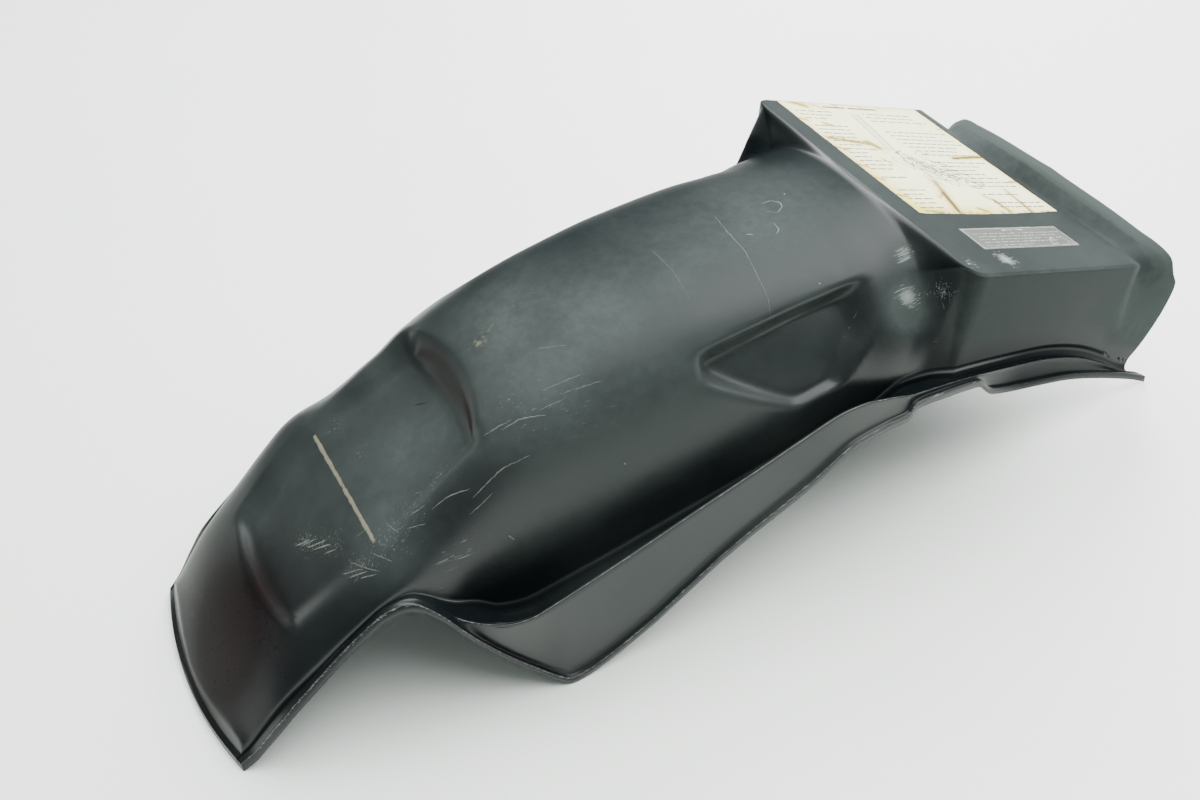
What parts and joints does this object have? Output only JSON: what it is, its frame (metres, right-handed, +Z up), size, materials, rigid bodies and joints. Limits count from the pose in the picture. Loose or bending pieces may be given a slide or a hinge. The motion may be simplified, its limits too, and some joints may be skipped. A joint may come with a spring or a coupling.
{
  "type": "motorbike rear inner fender",
  "caption": "One-piece black plastic rear inner fender: arched wheel cover with a raised box, side panels, flanges and two stickers.",
  "frame": {"origin": "centre of the footprint, on the surface that the fender lies on", "axes": "+X from the tail end to the front mouth, +Y to the far side, +Z up; the mid-plane is Y = 0"},
  "size_m": [0.6664, 0.229, 0.193],
  "materials": {
    "shell": "satin black, scuffed",
    "label_paper": "aged cream film, stained",
    "label_print": "grey film with faint bars"
  },
  "bodies": {
    "root": {"fender": "shell", "label_large": "label_paper", "label_small": "label_print"}
  },
  "joints": []
}
